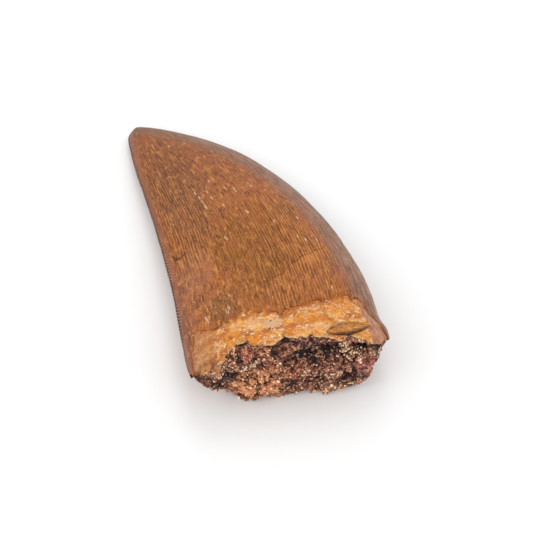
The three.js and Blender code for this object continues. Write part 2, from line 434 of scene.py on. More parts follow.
def near_segment(across, along, start, end, half_width):
    """1 on the line from start to end, falling to 0 beyond its half width."""
    start, end = np.array(start, float), np.array(end, float)
    run = end - start
    place = np.stack([across, along], axis=-1) - start
    share = np.clip(place @ run / (run @ run), 0, 1)
    distance = np.linalg.norm(place - share[..., None] * run, axis=-1)
    return bell(distance / half_width)


def line_noise(run, size, seed):
    """Noise along one line."""
    return noise(np.stack([run, np.zeros_like(run), np.zeros_like(run)], axis=-1), size, seed)


def saw_teeth(points, t, edge):
    """The saw teeth of one edge: how far notches cut it back, how deep furrows run in, where both lie."""
    tooth = SAW_TEETH[edge]
    reach, along = reach_from_edge(points, t, edge), points[..., ALONG]
    length = OUTLINE_LENGTH * (TIP_FRACTION if edge == "distal" else 1 - TIP_FRACTION)
    run = t * length - SAW_SLANT * reach
    wave = 0.5 - 0.5 * np.cos(2 * np.pi * (run / tooth["pitch"] + PITCH_DRIFT * line_noise(run, 2.3, 71)))
    starts, ends = (smooth(along, *stretch) for stretch in SAW_ENDS)
    sound = starts * (1 - ends) * (0.75 + 0.25 * line_noise(run, 1.7, 72))
    notch = tooth["notch"] * wave**1.5 * sound * bell(reach / NOTCH_REACH)
    furrow = tooth["furrow"] * wave**2 * sound * bell(reach / tooth["furrow_reach"]) * smooth(reach, 0, 0.5)
    clearest = 0.35 + 0.65 * bell((along - 21) / 10)
    patchy = 0.7 + 0.6 * line_noise(run, 1.1, 73)
    rung = (2 * wave - 1) * sound * clearest * patchy * bell(reach / (1.2 * tooth["furrow_reach"]))
    return notch, furrow, rung


def strand_place(points, t, angle):
    """Place on the face in a frame that follows the striae: across them, along them, and the face."""
    width = lerp(MESIAL_END - DISTAL_END, np.abs(chord(t))[..., ACROSS], STRAND_FOLLOWS)
    return np.stack([across_share(angle) * width, points[..., ALONG], FACES_APART * side_of(angle)], axis=-1)


def lined_share(across, along, place):
    """How strongly the enamel is striated at a place, from 0 to 1."""
    strength = 0.3 + 0.75 * hump(across, along, 4.5, 17, 8, 11)
    strength += 0.5 * bell((across + 11) / 4.5) * smooth(along, 16, 23) * (1 - smooth(along, 38, 48))
    smooth_patch = hump(across, along, -9, 11, 5.0, 7.5)
    worn_margin = smooth(across + 0.3 * (along - 15), 9.5, 13)
    strength *= (1 - 0.85 * smooth_patch) * (1 - 0.6 * worn_margin)
    return np.clip(strength * (0.85 + 0.4 * noise(place, (4, 8, 1), 8)), 0, 1)


def growth_height(across, along):
    """Height above the stepped line across the enamel."""
    return along - through(GROWTH_LINE, across) + GROWTH_LINE_WAVER * line_noise(across, 1.4, 91)


def growth_step(across, along, upper):
    """The stepped line: 1 in its groove, and a share of drop below it."""
    height = growth_height(across, along)
    shown = upper * smooth(across, -3.5, 1) * (1 - smooth(across, 9.2, 10.6))
    groove = shown * bell(height / GROWTH_LINE_HALF_WIDTH)
    drop = shown * smooth(-height, -0.1, 0.15) * (1 - smooth(-height, 3, 7))
    return groove, drop


def enamel_shape(t, angle):
    """Points of the enamel's surface, with its relief, and what its material needs to know."""
    base = crown_point(t, angle)
    across, along = base[..., ACROSS], base[..., ALONG]
    upper = (side_of(angle) > 0).astype(float)
    place = strand_place(base, t, angle)
    lined = lined_share(across, along, place)
    stria = noise(place, (STRIA_PITCH, 5, 1), 5) + 0.4 * noise(place, (0.26, 3, 1), 6)
    stria = smooth(stria, 0.0, 0.7) * lined
    groove, drop = growth_step(across, along, upper)
    cracks = [(near_segment(across, along, *segment), depth) for *segment, depth in CRACKS]
    glint = upper * sum(near_segment(across, along, *segment) for segment in GLINTS)
    to_edge = along - enamel_edge_along(angle)
    depth = sum(deep * (1 + fractal(base, size, 2, seed)) for deep, size, seed in SWELLS)
    depth += STRIA_DEPTH * stria + GROWTH_LINE_DEPTH * (groove + drop) - GLINT_HEIGHT * glint
    depth += sum(deep * bell(to_edge / reach) for deep, reach in FRAYING)
    depth += upper * sum(deep * near for near, deep in cracks)
    teeth = {edge: saw_teeth(base, t, edge) for edge in SAW_TEETH}
    depth += sum(furrow for _, furrow, _ in teeth.values())
    points = base - crown_normal(t, angle) * np.maximum(depth, 0)[..., None]
    rim_reach = reach_from_edge(base, t, "mesial")
    nick = sum(cut * bell((along - middle) / half) for middle, half, cut in NICKS)
    inward = teeth["distal"][0] - teeth["mesial"][0] - nick * bell(rim_reach / NICK_REACH)
    facts = {
        "strand": place, "lined": lined, "to_edge": to_edge,
        "crack": np.clip(upper * sum(near for near, _ in cracks), 0, 1), "glint": np.clip(glint, 0, 1),
        "rung": sum(rung for _, _, rung in teeth.values()),
        "rim_reach": rim_reach, "distal_reach": reach_from_edge(base, t, "distal"),
        "line_height": growth_height(across, along) + LOWER_LINE_DROP * (1 - upper),
    }
    return points + unit(chord(t)) * inward[..., None], facts


def enamel_faces(number, fine):
    """Quads between columns of point numbers: small ones between fine columns, more corners beside one."""
    faces = []
    for left in range(len(fine)):
        right = (left + 1) % len(fine)
        a, b = number[:, left], number[:, right]
        if fine[left] and fine[right]:
            faces += np.stack([a[:-1], b[:-1], b[1:], a[1:]], axis=-1).tolist()
            continue
        for r in range(0, len(number) - 1, FINE_ROWS):
            above = slice(r + 1, r + FINE_ROWS + 1)
            faces.append([int(v) for v in (a[r], b[r], *b[above], *a[above][::-1]) if v >= 0])
    return faces


def enamel_piece(material):
    """The enamel: a closed cap over the dentine, with finer rows along its saw-toothed edges."""
    angle = section_angles(*ENAMEL_COLUMNS, ENAMEL_STATION)
    count, last = len(angle), ENAMEL_ROWS * FINE_ROWS
    section = crown_point(ENAMEL_STATION, angle)
    fine = np.any([reach_from_edge(section, ENAMEL_STATION, edge) < reach
                   for edge, reach in FINE_REACH.items()], axis=0)
    wanted = np.zeros((last + 1, count), bool)
    wanted[::FINE_ROWS] = True
    wanted[:, fine] = True
    number = np.full(wanted.shape, -1)
    number[wanted] = np.arange(wanted.sum())
    row, column = np.nonzero(wanted)
    start = station_at(enamel_edge_along(angle), across_share(angle))[column]
    t = start + (1 - start) * (1 - (1 - row / (last + FINE_ROWS)) ** ROW_CROWDING)
    points, facts = enamel_shape(t, angle[column])

    # The lower edge turns in over the dentine and is closed inside it, out of sight.
    lip = points[number[0]] - crown_normal(t[number[0]], angle) * LIP_DEPTH
    middle = np.array([0, CORE_ALONG, 0])
    extra = np.concatenate([lip, lerp(lip, middle, CORE_SHARE), [middle, crown_point(1.0, np.pi / 2)]])
    lip_ring, core_ring = len(points) + np.arange(2 * count).reshape(2, count)
    centre, tip = core_ring[-1] + 1, core_ring[-1] + 2
    faces = enamel_faces(number, fine) + band(number[0], lip_ring) + band(lip_ring, core_ring)
    faces += fan(centre, core_ring, turned=True) + fan(tip, number[-1])
    facts = joined([facts, {key: np.zeros((len(extra), *value.shape[1:])) for key, value in facts.items()}])
    points = np.concatenate([points, extra])
    add_piece("tooth_enamel", points, faces, material, "tooth_crown", facts)


# ---- Dentine ----

DENTINE_COLUMNS = (300, 180)  # of the upper and the lower face
BAND_ROWS = 84
SECTION_ROWS = 8
CAVITY_ROWS = 6
UNDER_ENAMEL = 1.2  # the dentine is made this far up under the enamel
WORN_RIM = ((0.35, 0.35), (0.12, 1.5))  # depth and reach of the wear along the break
SECTION_SLANT = 0.9  # the broken wall slopes in and up by this much
SECTION_ROUGHNESS = 0.1
FAR_FROM_ENAMEL = 6.0  # taken as the broken wall's distance from the enamel
CAVITY_DEPTH = 4.0
CLOSED_AT = (8.5, 5.0)  # how far along the mesh is closed out of sight, under the enamel and in the cavity

# The loose flake near the mesial end of the break: its middle, shape and lean, how far it stands out, and
# how deep the crease round it is.
FLAKE = {
    "across": 8.9, "along": 0.0, "half_length": 3.5, "half_height": 0.8, "lean": 0.1, "rise": 0.1,
    "crease": 0.3,
}
CHIP_DEPTHS = {"scallop": 0.16, "facet": 0.09, "grain": 0.03}
FACET_STEPS = 2.5  # flat steps of the facets to each unit of their noise


def flake_distance(across, along):
    """0 at the flake's middle, 1 on its pointed outline."""
    x = (across - FLAKE["across"]) / FLAKE["half_length"]
    height = FLAKE["half_height"] * np.clip(1 - x**2, 0.03, 1)
    y = (along - FLAKE["along"] - FLAKE["lean"] * (across - FLAKE["across"])) / height
    return np.hypot(np.clip(np.abs(x) - 0.9, 0, 9) * 8, y)


def dentine_shape(t, angle, rim):
    """Points of the bare band's surface, with its chips, and what its material needs to know."""
    base = crown_point(t, angle)
    across, along = base[..., ACROSS], base[..., ALONG]
    upper = (side_of(angle) > 0).astype(float)
    to_rim = along - rim
    chips = {
        "scallop": np.abs(fractal(base, 1.9, 2, 21)),
        "facet": 1 + np.round(FACET_STEPS * fractal(base, 1.4, 2, 25)) / FACET_STEPS,
        "grain": 1 + fractal(base, 0.5, 2, 23),
    }
    depth = ENAMEL_STEP + sum(CHIP_DEPTHS[kind] * chip for kind, chip in chips.items())
    depth += sum(deep * bell(to_rim / reach) for deep, reach in WORN_RIM)
    flake = flake_distance(across, along)
    inside = upper * (1 - smooth(flake, 0.85, 1.05))
    crease = upper * bell((flake - 1.15) / 0.32) * (0.6 + 0.4 * smooth(FLAKE["along"] - along, -0.5, 0.4))
    depth += FLAKE["crease"] * crease - FLAKE["rise"] * inside
    facts = {"to_rim": to_rim, "crease": crease, "flake": inside}
    return base - crown_normal(t, angle) * depth[..., None], facts


def inset_point(t, angle, inset):
    """A point `inset` mm in from the crown's surface, towards the middle of its section."""
    outer = crown_point(t, angle)
    middle = crown_point(t, np.full_like(t, np.pi / 2)) * np.array([1, 1, 0])
    share = 1 - np.array([inset / abs(DISTAL_END), 0, inset / BASE_HALF_THICKNESS])
    return lerp(np.stack([middle[..., ACROSS], outer[..., ALONG], middle[..., OUT]], axis=-1), outer, share)


def dentine_piece(material):
    """The bare band below the enamel, the broken wall and the mouth of the pulp cavity."""
    angle = section_angles(*DENTINE_COLUMNS, DENTINE_STATION)
    u, zero = across_share(angle), np.zeros(len(angle))
    rim, edge = rim_along(angle), enamel_edge_along(angle)
    rings, facts = [], []
    for row in range(BAND_ROWS + 1):
        t = station_at(lerp(edge + UNDER_ENAMEL, rim, row / BAND_ROWS), u)
        points, known = dentine_shape(t, angle, rim)
        rings.append(points)
        facts.append({**known, "to_edge": edge - points[:, ALONG], "wall": zero})
    outer_rim, far = rings[-1], zero + FAR_FROM_ENAMEL
    for row in range(1, SECTION_ROWS + CAVITY_ROWS + 1):
        in_wall = min(row / SECTION_ROWS, 1)
        deeper = max(0, row - SECTION_ROWS) / CAVITY_ROWS * CAVITY_DEPTH
        target = inset_point(station_at(rim + SECTION_SLANT + deeper, u), angle, WALL)
        points = lerp(outer_rim, target, in_wall)
        rough = SECTION_ROUGHNESS * fractal(points, 0.6, 2, 27) * np.sin(np.pi * min(in_wall, 0.95))
        rings.append(points + np.stack([zero, rough, rough], axis=-1))
        facts.append({"to_rim": zero, "crease": zero, "flake": zero, "to_edge": far, "wall": zero + in_wall})
    points = np.concatenate([*rings, [[0, along, 0] for along in CLOSED_AT]])
    facts.append({key: [0, 0] for key in facts[0]})
    faces = ring_faces(len(rings), len(angle))
    add_piece("tooth_dentine", points, faces, material, "tooth_crown", joined(facts), CLEARANCE)


# ---- Sandstone ----

STONE_COLUMNS = 460
FACE_ROWS = 110
PLUG_ROWS = 5
LEDGE_ROWS = 14  # between the mouth of the cavity and the outline of the broken face
PLUG_DEPTH = 7.5
PLUG_BLUNTNESS = 0.6
PLUG_END = 7.7  # the mesh is closed here on the crown's middle line
PLUG_START = 0.5  # the plug starts this far above the break,
LEDGE_START = 0.25  # and the ledge this far above it
LEDGE_OVERLAP = 0.35  # and this far outside the cavity's wall
FACE_LIMIT = -3.84  # the stone reaches no further than this from the tip, at the mid-plane
STONE_BELOW_SURFACE = 0.75  # the stone meets the broken wall this far below the crown's surface
# The broken face: its middle, its reach sideways, down and (as far as the wall lets it) up, and its shape.
FACE = {
    "across": 0.5, "out": -1.0, "along": -1.5, "half_width": 12.1, "reach_down": 5.5, "reach_up": 8,
    "squareness": 3.8,
}

# Humps and hollows of the broken face: across, out, reach across, reach out, height away from the tip.
FACE_RELIEF = [
    (-5.5, -2.4, 3.2, 2.8, 1.2),
    (-1.2, -5.6, 1.2, 1.6, -0.8),
    (-10.2, -5.2, 2.8, 3.4, -3.6),
    (-6.6, 3.9, 2.0, 1.1, 0.9),
    (-5.6, 1.5, 3.0, 1.0, -1.0),
    (-2.4, 1.2, 1.3, 1.1, 0.7),
    (2.8, 4.6, 4.4, 0.9, 0.7),
    (3.8, 2.0, 3.8, 1.3, -1.6),
    (3.4, -1.2, 3.6, 1.6, 1.0),
    (3.4, -3.4, 2.6, 0.9, -0.6),
    (10.0, -0.6, 3.6, 2.4, 1.8),
    (10.6, -3.6, 3.0, 1.8, 0.9),
    (12.2, -2.4, 1.8, 1.8, 0.9),
    (9.4, -3.0, 1.6, 0.6, -0.5),
    (7.6, -5.8, 5.4, 2.2, 1.5),
    (10.6, 2.2, 2.6, 0.9, -2.2),
    (8.2, 1.7, 1.6, 0.8, 0.6),
]
CALM_HOLLOW = (3.8, 2.2, 4.2, 1.7)  # less craggy than the rest: across, out, reach across, reach out
CRAG_SIZES = {"lump": 2.1, "pebble": 1.0, "grit": 0.45}
CRAG_HEIGHTS = {"lump": 1.1, "pebble": 0.58, "grit": 0.28}
CRAG_MIDDLE = 0.44  # taken off, so that the crags on the whole leave the face where it is
CRAG_DRIFT = 0.7  # bends the lumps and pebbles out of their even grid
SHAKE = 0.3  # of the stone's surface, across and out of the mid-plane
RIM_GAPS = (0.1, -0.3)  # the face's outline lies this far above the break at the upper and lower wall


def upper_wall_out(across):
    """Height out of the mid-plane of the crown's upper surface at the rim."""
    u = np.clip((across - DISTAL_END) / (MESIAL_END - DISTAL_END), 0, 1)
    t = station_at(through(UPPER_RIM, across), u)
    return half_thickness(t) * lens(t, u)


def face_outline(angle):
    corner = 2 / FACE["squareness"]
    c, s = -np.cos(angle), np.sin(angle)
    across = FACE["across"] + FACE["half_width"] * np.sign(c) * np.abs(c) ** corner
    out = FACE["out"] + np.where(s > 0, FACE["reach_up"], -FACE["reach_down"]) * np.abs(s) ** corner
    return across, np.minimum(out, upper_wall_out(across) - STONE_BELOW_SURFACE)


def face_along(across, out):
    along = np.full(across.shape, float(FACE["along"]))
    for *place, height in FACE_RELIEF:
        along -= height * hump(across, out, *place)
    before_lower_wall = lerp(3, through(LOWER_RIM, across) - 0.35, smooth(-out, 2.5, 4.5))
    return np.minimum(along, before_lower_wall)


def crags(points):
    """Lumps parted by sharp creases: height of the broken stone, and 1 in the creases."""
    drift = np.stack([fractal(points, 1.8, 2, seed) for seed in (51, 52, 53)], axis=-1)
    warped = points + CRAG_DRIFT * drift
    lumps, pebbles = noise(warped, CRAG_SIZES["lump"], 41), noise(warped, CRAG_SIZES["pebble"], 42)
    grit = noise(points, CRAG_SIZES["grit"], 43)
    calm = 1 - 0.85 * hump(points[..., ACROSS], points[..., OUT], *CALM_HOLLOW)
    height = CRAG_HEIGHTS["lump"] * np.abs(lumps) + CRAG_HEIGHTS["pebble"] * calm * np.abs(pebbles)
    height += CRAG_HEIGHTS["grit"] * calm * np.abs(grit) - CRAG_MIDDLE
    crease = np.maximum(bell(lumps / 0.12), calm * bell(pebbles / 0.14))
    return height, crease


def held_back(points):
    """The points with their furthest reach from the tip eased to that of the CAD model."""
    across, along, out = np.moveaxis(points, -1, 0)
    limit = FACE_LIMIT - math.tan(LEAN) * out
    past = along - limit
    return np.stack([across, limit + 0.5 * (past + np.sqrt(past**2 + 0.1)), out], axis=-1)


def roughened(points, share):
    """The points moved by a share of the stone's crags, and what its material needs to know."""
    crag, crease = crags(points)
    sideways, outwards = (SHAKE * fractal(points, 0.8, 2, seed) for seed in (44, 45))
    shake = np.stack([sideways, -crag, outwards], axis=-1)
    return held_back(points + shake * share), {"crag": crag, "crease": crease}


def face_point(size, angle):
    """A point of the broken face before its crags, `size` of the way from its middle to its outline."""
    edge_across, edge_out = face_outline(angle)
    across = lerp(FACE["across"], edge_across, size)
    out = lerp(0.6 * FACE["out"], edge_out, size)
    upper = np.sin(angle) > 0
    walls = (through(line, across) + gap for line, gap in zip((UPPER_RIM, LOWER_RIM), RIM_GAPS))
    rim = np.where(upper, *walls)
    settled = smooth(upper_wall_out(across) - STONE_BELOW_SURFACE - out, 0, 1.6)
    turned = np.where(upper, 1, 1 - smooth(size, 0.9, 1.0))
    ends = 1 - smooth(np.abs(across - FACE["across"]) / FACE["half_width"], 0.88, 1.0)
    along = lerp(rim, face_along(across, out), settled * turned * ends)
    return np.stack([across, along, out], axis=-1)


def stone_piece(material):
    """The sandstone: a plug in the pulp cavity, a ledge over its mouth, and the broken face."""
    angle = np.linspace(0, 2 * np.pi, STONE_COLUMNS, endpoint=False)
    u, rim, zero = across_share(angle), rim_along(angle), np.zeros(STONE_COLUMNS)
    rings, facts = [], []
    for row in range(PLUG_ROWS):
        turn = np.pi / 2 * (1 - (row + 1) / (PLUG_ROWS + 1))
        target = inset_point(station_at(rim + PLUG_START + PLUG_DEPTH * np.sin(turn), u), angle, WALL)
        rings.append(lerp(target * np.array([0, 1, 0]), target, np.cos(turn) ** PLUG_BLUNTNESS))
        facts.append({"crag": zero, "crease": zero})
    mouth = inset_point(station_at(rim + LEDGE_START, u), angle, WALL - LEDGE_OVERLAP)
    outline = face_point(1.0, angle)
    ledge = np.arange(LEDGE_ROWS) / LEDGE_ROWS
    bare = [(lerp(mouth, outline, share), smooth(share, 0, 0.5)) for share in ledge]
    bare += [(face_point(1 - row / FACE_ROWS, angle), 1) for row in range(FACE_ROWS)]
    for ring, share in bare:
        points, known = roughened(ring, share)
        rings.append(points)
        facts.append(known)
    face = np.array(rings[PLUG_ROWS:])
    heights = np.array([known["crag"] for known in facts[PLUG_ROWS:]])
    centre, known = roughened(face_point(0.0, np.array([np.pi / 2])), 1)
    points = np.concatenate([*rings, [[0, PLUG_END, 0]], centre])
    facts += [{key: [0] for key in known}, known]
    faces = ring_faces(len(rings), len(angle))
    add_piece("sandstone", points, faces, material, "sandstone_matrix", joined(facts), CLEARANCE)
    return face, heights


# ---- Sand grains on the broken face ----

GRAINS = 6400
TRIES_PER_GRAIN = 4
BARE_ROWS = (5, 3)  # rings without grains, at the mouth of the cavity and in the middle of the face
GRAIN_RADIUS = (0.08, 0.22)
GRAIN_LIFT = 0.04  # a grain's middle stands this far out of the stone
GRAIN_STRETCH = (0.5, 1.4)  # along each of a grain's own three directions
GRAIN_ROUGHNESS = (0.7, 1.15)  # how far its corners lie out, as shares of its radius
PALE_TONE = (0.75, 1)  # where the pale grains lie on the ramp of tones

# Where pale, coarser grains gather: across, out, reach across, reach out, share.
PALE_PATCHES = [
    (7.7, 2.3, 0.7, 0.7, 0.75),
    (8.6, 1.6, 1.1, 0.8, 0.5),
    (10.2, 1.0, 1.5, 0.6, 0.7),
    (12.4, 1.0, 0.9, 0.7, 0.5),
    (6.8, 0.2, 0.9, 1.2, 0.4),
    (7.4, -2.4, 1.4, 0.8, 0.25),
    (0.0, 3.4, 1.0, 0.7, 0.4),
    (-6.2, 1.0, 2.4, 0.9, 0.3),
    (-10.6, -2.0, 1.0, 0.7, 0.25),
]
# Where tan grains gather.
TAN_PATCHES = [
    (3.2, -0.8, 3.4, 1.2, 0.9),
    (-0.6, 1.4, 1.6, 1.6, 0.5),
    (4.5, -4.9, 5.0, 0.8, 0.8),
    (-5.6, -2.6, 3.4, 2.6, 0.3),
]
# Where the stone is bare of grains.
BARE_PATCHES = [
    (3.6, 2.0, 3.3, 1.5, 2.2),
    (2.8, 4.6, 4.4, 0.9, 0.9),
    (11.2, 2.3, 2.0, 0.8, 2.2),
    (-5.6, -2.4, 2.6, 1.8, 0.4),
    (-6.6, 3.8, 2.2, 1.1, 0.8),
    (10.4, -0.9, 2.2, 1.4, 0.5),
]


def patches(places, spots):
    return sum(share * hump(places[:, ACROSS], places[:, OUT], *spot) for *spot, share in spots)


def icosahedron():
    golden = (1 + math.sqrt(5)) / 2
    places = itertools.product(range(3), (golden, -golden), (-1, 1))
    corners = np.array([np.roll((a, b, 0), turn) for turn, b, a in places]) / math.hypot(1, golden)
    near = np.linalg.norm(corners[:, None] - corners, axis=-1) < 1.1
    faces = []
    for a, b, c in itertools.combinations(range(len(corners)), 3):
        if near[a, b] and near[b, c] and near[a, c]:
            facing = np.dot(np.cross(corners[b] - corners[a], corners[c] - corners[a]), corners[a])
            faces.append((a, b, c) if facing > 0 else (a, c, b))
    return corners, np.array(faces)


def grain_piece(material, face, heights):
    """Half-set sand grains, as one joined mesh of small irregular crystals."""
    rows, columns = face.shape[:2]
    tries = GRAINS * TRIES_PER_GRAIN
    row = ((1 - np.sqrt(rng.random(tries))) * (rows - sum(BARE_ROWS)) + BARE_ROWS[0]).astype(int)
    column = (rng.random(tries) * columns).astype(int)
    places, height = face[row, column], heights[row, column]
    pale, tan = patches(places, PALE_PATCHES), patches(places, TAN_PATCHES)
    crowd = 0.3 + 0.5 * fractal(places, 1.7, 2, 61) + 0.5 * height + pale + 0.4 * tan
    crowd -= patches(places, BARE_PATCHES)
    keep = np.nonzero(rng.random(tries) < np.clip(crowd, 0.02, 1))[0][:GRAINS]
    places, pale, tan = places[keep], pale[keep], tan[keep]
    count = len(places)
    corners, faces = icosahedron()
    is_pale = rng.random(count) < 0.03 + 0.5 * pale
    radius = lerp(*GRAIN_RADIUS, rng.random(count) ** 1.8) * np.where(is_pale, 1.1, 1)
    stretch = rng.uniform(*GRAIN_STRETCH, (count, 1, 3))
    rough = rng.uniform(*GRAIN_ROUGHNESS, (count, len(corners), 1))
    turn = np.linalg.qr(rng.normal(size=(count, 3, 3)))[0]
    shapes = np.einsum("nij,nkj->nki", turn, corners[None] * rough * stretch) * radius[:, None, None]
    points = (places[:, None] - [0, GRAIN_LIFT, 0] + shapes).reshape(-1, 3)
    index = faces[None] + len(corners) * np.arange(count)[:, None, None]
    flip = np.linalg.det(turn) < 0
    index[flip] = index[flip][:, :, ::-1]
    common = np.clip(0.74 * rng.random(count) ** 1.4 + 0.3 * tan * rng.random(count), 0, 0.8)
    tone = np.repeat(np.where(is_pale, rng.uniform(*PALE_TONE, count), common), len(corners))
    add_piece("sand_grains", points, index.reshape(-1, 3).tolist(), material,
              "sandstone_matrix", {"tone": tone}, rounded=False)


# ---- Node helpers for the materials ----


def linear(tint):
    """A tint (red, green and blue as on a screen, 0 to 255) in the linear form that nodes use."""
    shares = (value / 255 for value in tint)
    return (*(((v + 0.055) / 1.055) ** 2.4 if v > 0.04 else v / 12.92 for v in shares), 1)


class Nodes:
    """Builds the nodes of a material or world. Sizes are in mm, and `colour` is what is painted so far."""

    def __init__(self, owner):
        owner.use_nodes = True
        self.owner = owner
        self.tree = owner.node_tree
        self.colour = None

    def plug(self, socket, value):
        if isinstance(value, bpy.types.NodeSocket):
            self.tree.links.new(value, socket)
        elif value is not None:
            socket.default_value = value

    def node(self, kind, inputs, **settings):
        """A new node with its settings, and with links or values for its inputs."""
        node = self.tree.nodes.new("ShaderNode" + kind)
        for name, value in settings.items():
            setattr(node, name, value)
        for key, value in inputs.items():
            self.plug(node.inputs[key], value)
        return node

    def number(self, name):
        return self.node("Attribute", {}, attribute_name=name).outputs["Fac"]

    def place(self, name="crown"):
        return self.node("Attribute", {}, attribute_name=name).outputs["Vector"]

    def parts(self, vector):
        return self.node("SeparateXYZ", {0: vector}).outputs

    def math(self, operation, a, b=None):
        return self.node("Math", {0: a, 1: b}, operation=operation).outputs[0]

    def add(self, a, b):
        return self.math("ADD", a, b)

    def times(self, first, *others):
        for other in others:
            first = self.math("MULTIPLY", first, other)
        return first

    def step(self, value, low, high, bottom=0.0, top=1.0):
        """Smoothly from bottom to top as value goes from low to high."""
        ends = (low, high, bottom, top) if low < high else (high, low, top, bottom)
        inputs = dict(enumerate((value, *ends)))
        return self.node("MapRange", inputs, interpolation_type="SMOOTHSTEP").outputs[0]

    def stretched(self, size, offset, place=None):
        """A place in units of `size`, one number or three."""
        sizes = size if isinstance(size, tuple) else (size,) * 3
        inputs = {"Vector": place or self.place(), "Scale": tuple(1 / s for s in sizes), "Location": offset}
        return self.node("Mapping", inputs).outputs[0]

    def noise(self, size, detail=3.0, roughness=0.55, distortion=0.0, offset=(0, 0, 0), place=None):
        """Noise from 0 to 1 with bumps of `size`, one number or three."""
        inputs = {"Vector": self.stretched(size, offset, place), "Scale": 1.0, "Detail": detail,
                  "Roughness": roughness, "Distortion": distortion}
        return self.node("TexNoise", inputs).outputs[0]

    def thread(self, noise, half_width):
        """1 along the lines where a noise passes its middle."""
        return self.step(self.math("ABSOLUTE", self.add(noise, -0.5)), half_width, 0.0)

    def cells(self, size, offset=(0, 0, 0)):
        """Distance to the middle of a cell, and a number of each cell's own."""
        cells = self.node("TexVoronoi", {"Vector": self.stretched(size, offset), "Scale": 1.0})
        return cells.outputs["Distance"], self.parts(cells.outputs["Color"])[0]

    def spot(self, across, height, reach_across, reach_height, tilt=0.0, axis=ALONG):
        """1 at a place, falling smoothly to 0 at its reach; its height is measured along the given axis."""
        place = self.parts(self.place())
        x, y = self.add(place[ACROSS], -across), self.add(place[axis], -height)
        if tilt:
            x = self.add(x, self.times(y, -tilt))
        x, y = self.times(x, 1 / reach_across), self.times(y, 1 / reach_height)
        return self.step(self.add(self.times(x, x), self.times(y, y)), 1.0, 0.0)

    def axis(self, index):
        return self.parts(self.place())[index]

    def mix(self, share, a, b):
        a, b = (tint if isinstance(tint, bpy.types.NodeSocket) else linear(tint) for tint in (a, b))
        return self.node("Mix", {0: share, 6: a, 7: b}, data_type="RGBA").outputs[2]

    def paint(self, tint, *shares):
        """Lays a tint over the colour so far, as strongly as the product of the shares."""
        self.colour = self.mix(self.times(*shares), self.colour, tint)

    def ramp(self, value, stops):
        node = self.node("ValToRGB", {0: value})
        elements = node.color_ramp.elements
        while len(elements) < len(stops):
            elements.new(0.5)
        for element, (position, tint) in zip(elements, stops):
            element.position = position
            element.color = linear(tint)
        return node.outputs[0]

    def bump(self, height, distance, under=None):
        """Tiny relief on the surface; distance in millimetres for a height of 1."""
        return self.node("Bump", {"Distance": distance * MM, "Height": height, "Normal": under}).outputs[0]

    def finish(self, roughness, normal, specular, coat=0.0, coat_roughness=0.1):
        """The finished material."""
        shader = self.tree.nodes["Principled BSDF"]
        values = {
            "Base Color": self.colour, "Roughness": roughness, "Normal": normal,
            "Specular IOR Level": specular, "Coat Weight": coat, "Coat Roughness": coat_roughness,
        }
        for name, value in values.items():
            self.plug(shader.inputs[name], value)
        return self.owner


CARAMEL = (156, 88, 34)
AMBER = (168, 92, 20)
OLIVE = (132, 82, 18)
RED_BROWN = (136, 74, 42)
PURPLE_BROWN = (126, 78, 60)
SHEEN_GREY_BROWN = (126, 95, 78)
STRIA_DARK = (80, 36, 2)
STRIA_LIGHT = (210, 138, 72)
FLECK_ORANGE = (184, 100, 42)
CREAM = (252, 208, 146)
VEIN = (170, 76, 14)
DARK_BROWN = (48, 26, 18)

# ---- Enamel material ----

# Parts of the enamel with their own colour: across, along, reach across, reach along, tilt, share, colour.
ENAMEL_ZONES = [
    (-11, 14, 3.5, 7, 0, 0.5, PURPLE_BROWN),
    (-8, 9, 4, 5, 0, 0.5, RED_BROWN),
    (-7.4, 8.2, 3.4, 4.2, 0, 0.75, (112, 76, 34)),
    (12.5, 10, 3.5, 9, -0.2, 0.7, PURPLE_BROWN),
    (11.0, 12.6, 3.4, 3.6, 0, 0.7, PURPLE_BROWN),
    (-0.5, 17.5, 6.5, 10, 0, 0.8, (134, 76, 0)),
    (7, 15, 4, 6, 0, 0.4, (198, 122, 46)),
    (-9.8, 17.8, 3.6, 5.6, 0, 0.4, (178, 126, 94)),
    (-9.6, 34, 5.6, 16, -0.1, 0.68, (108, 72, 50)),
    (-10.6, 39.0, 2.0, 3.6, 0, 0.5, (94, 60, 40)),
]


def paint_enamel_zones(n):
    """The enamel's broad colours: amber in the middle, redder to the tip, purple-brown at the margins, and
    painted grey sheen towards the mesial edge.
    """
    n.colour = n.mix(n.noise((4, 7, 5), 3, offset=(3, 0, 0)), CARAMEL, AMBER)
    n.paint(OLIVE, n.spot(-2.5, 17, 6, 12, -0.2), 0.7)
    n.paint(AMBER, n.spot(7, 16, 7, 9), 0.8)
    n.paint(RED_BROWN, n.step(n.axis(ALONG), 22, 44, 0, 0.9))
    n.paint(PURPLE_BROWN, n.step(n.axis(ALONG), 40, 53, 0, 0.6))
    n.paint(PURPLE_BROWN, n.step(n.axis(ACROSS), -10.5, -14), n.step(n.axis(ALONG), 26, 12))
    for across, along, reach_across, reach_along, tilt, share, tint in ENAMEL_ZONES:
        n.paint(tint, n.spot(across, along, reach_across, reach_along, tilt), share)
    # painted sheen: greyer towards the mesial edge, standing in for the reflection of the pale floor
    n.paint(SHEEN_GREY_BROWN, n.step(n.add(n.number("rim_reach"), n.noise(3.0, 2)), 7.2, 4.6, 0, 0.6))


